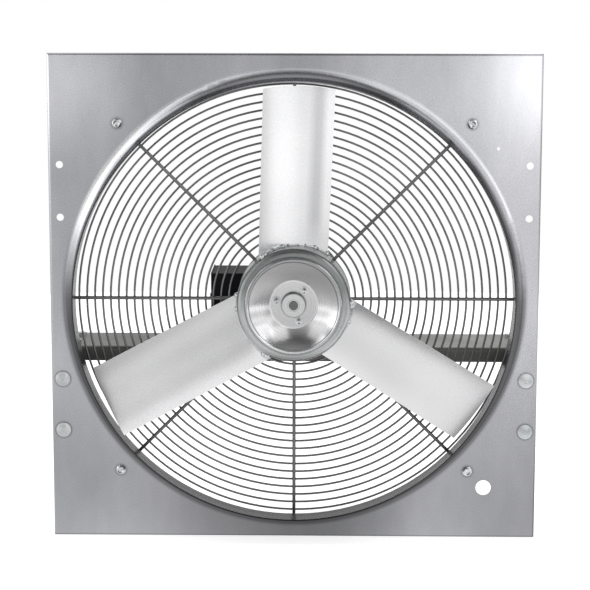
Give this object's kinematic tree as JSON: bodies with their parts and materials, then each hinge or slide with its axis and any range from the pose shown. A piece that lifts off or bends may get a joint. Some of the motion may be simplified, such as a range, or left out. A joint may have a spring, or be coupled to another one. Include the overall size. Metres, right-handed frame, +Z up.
{
  "type": "panel exhaust fan",
  "caption": "Direct-drive wall exhaust fan: square steel panel with a drawn venturi collar, bladed propeller on a spun hub, spiral wire guard and a cradle-mounted motor on a cross platform.",
  "frame": {"origin": "where the shaft axis crosses the panel's front face, which is the face that seats on the wall", "axes": "X to the right, +Y from the discharge side to the motor side along the shaft, Z up"},
  "size_m": [0.6984, 0.253, 0.6984],
  "materials": {
    "galvanised_sheet": "bright galvanised sheet",
    "blade_sheet": "satin rolled sheet",
    "spun_dish": "spun, brushed in circles",
    "hub_steel": "plain steel",
    "guard_wire": "zinc-plated wire",
    "zinc_fastener": "bright zinc plate",
    "support_steel": "galvanised plate",
    "black_paint": "satin black enamel",
    "ring_rubber": "matte",
    "lamination_steel": "stacked laminations",
    "winding_copper": "enamelled copper wire",
    "bearing_bronze": "sintered bronze",
    "cast_aluminium": "die cast",
    "shaft_steel": "ground"
  },
  "bodies": {
    "frame": {"wall_panel": "galvanised_sheet", "guard_spiral": "guard_wire", "guard_inner_ring": "guard_wire", "guard_spokes": "guard_wire", "guard_screws": "zinc_fastener", "guard_nuts": "zinc_fastener", "support_arm_left": "support_steel", "support_arm_right": "support_steel", "carriage_bolts": "zinc_fastener", "carriage_nuts": "zinc_fastener", "motor_platform": "support_steel", "platform_bolts": "zinc_fastener", "platform_nuts": "zinc_fastener", "motor_cradle": "support_steel", "cradle_rings": "ring_rubber", "cradle_straps": "support_steel", "strap_screws": "zinc_fastener", "motor_bolts": "zinc_fastener", "motor_nuts": "zinc_fastener", "motor_shell": "black_paint", "front_end_bell": "black_paint", "rear_end_bell": "black_paint", "through_bolts": "zinc_fastener", "stator_core": "lamination_steel", "stator_windings": "winding_copper", "shaft_bearings": "bearing_bronze", "conduit_box": "black_paint", "conduit_box_cover": "black_paint", "cover_screws": "zinc_fastener"},
    "rotor": {"motor_shaft": "shaft_steel", "rotor_core": "lamination_steel", "rotor_end_rings": "cast_aluminium", "hub_bushing": "hub_steel", "hub_set_screw": "shaft_steel", "hub_drum": "hub_steel", "hub_dish": "spun_dish", "hub_screws": "zinc_fastener", "hub_nuts": "zinc_fastener", "blade_1": "blade_sheet", "blade_2": "blade_sheet", "blade_3": "blade_sheet", "root_welds": "hub_steel"}
  },
  "joints": [
    {"name": "rotor_spin", "type": "hinge", "parent": "frame", "child": "rotor", "pos_m": [0, 0, 0], "axis": [0, 1, 0], "continuous": true}
  ]
}
